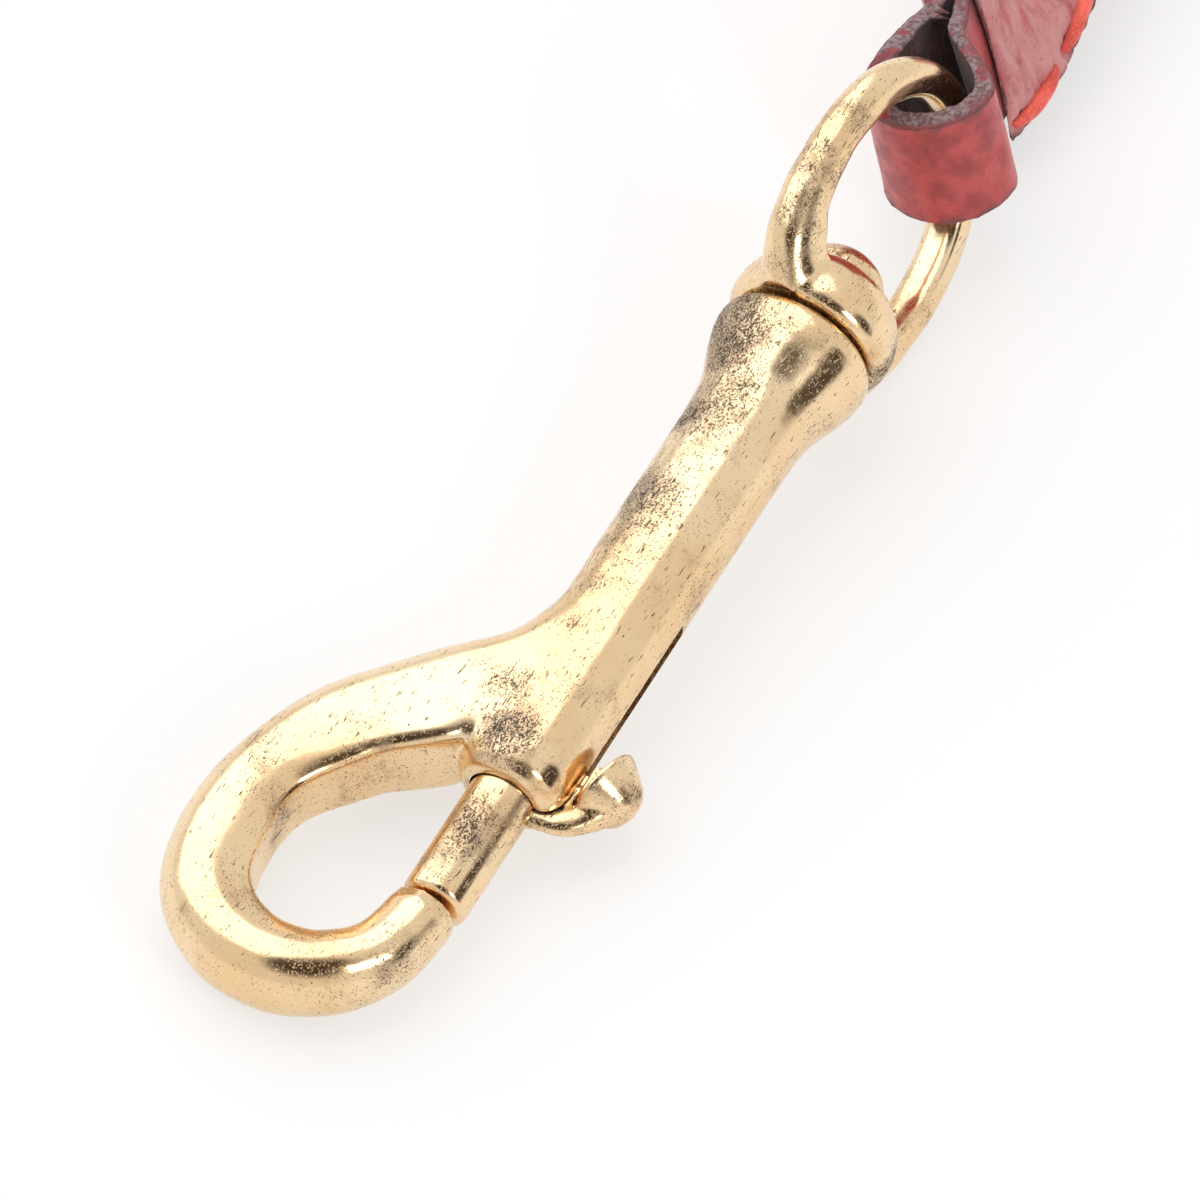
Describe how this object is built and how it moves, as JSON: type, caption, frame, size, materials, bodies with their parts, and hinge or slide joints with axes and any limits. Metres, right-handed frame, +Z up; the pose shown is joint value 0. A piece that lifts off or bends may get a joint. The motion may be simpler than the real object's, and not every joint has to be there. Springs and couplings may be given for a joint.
{
  "type": "carabiner keyring",
  "caption": "Swivel-eye bolt snap with a sprung bolt and thumb knob, on a stitched leather strap that ends in a split key ring.",
  "frame": {"origin": "under the middle of the whole object at rest, on the surface it lies on", "axes": "+X along the object from the snap's hook to the key ring, +Y towards the side that the hook curves out to, +Z up"},
  "size_m": [0.1874, 0.028, 0.0198],
  "materials": {
    "snap_brass": "glossy aged brass with dark speckled pitting",
    "spring_steel": "bare spring wire",
    "smooth_leather": "smooth red leather, dusty and scuffed",
    "cut_leather": "dark fuzzy cut edge",
    "stitching": "waxed twisted thread",
    "ring_steel": "plated, with fine wear"
  },
  "bodies": {
    "snap": {"snap_body": "snap_brass", "swivel_rivet": "snap_brass", "rivet_washer": "snap_brass", "bolt_spring": "spring_steel"},
    "gate_bolt": {"bolt": "snap_brass", "thumb_knob": "snap_brass"},
    "eye": {"swivel_eye": "snap_brass"},
    "strap": {"snap_tab": "smooth_leather", "ring_tab": "smooth_leather", "strap_core": "cut_leather", "strap_front": "smooth_leather", "strap_back": "smooth_leather", "thread_front_upper": "stitching", "thread_front_lower": "stitching", "thread_back_upper": "stitching", "thread_back_lower": "stitching"},
    "ring": {"key_ring": "ring_steel"}
  },
  "joints": [
    {"name": "bolt_slide", "type": "slide", "parent": "snap", "child": "gate_bolt", "axis": [0.9962, 0, 0.0872], "range_m": [0, 0.013], "stiffness_N_per_m": 400, "springref_m": -0.006, "deforming": ["bolt_spring"]},
    {"name": "eye_swivel", "type": "hinge", "parent": "snap", "child": "eye", "pos_m": [-0.03099, -0.00575, 0.00853], "axis": [0.9962, 0, 0.0872], "continuous": true},
    {"name": "strap_pivot", "type": "hinge", "parent": "eye", "child": "strap", "pos_m": [-0.01087, -0.00575, 0.01029], "axis": [-0.0833, 0.2924, 0.9527], "range_deg": [-65, 105]},
    {"name": "ring_swing", "type": "hinge", "parent": "strap", "child": "ring", "pos_m": [0.06723, 0, 0.0056], "axis": [0, 1, 0], "range_deg": [-110, 110]}
  ]
}
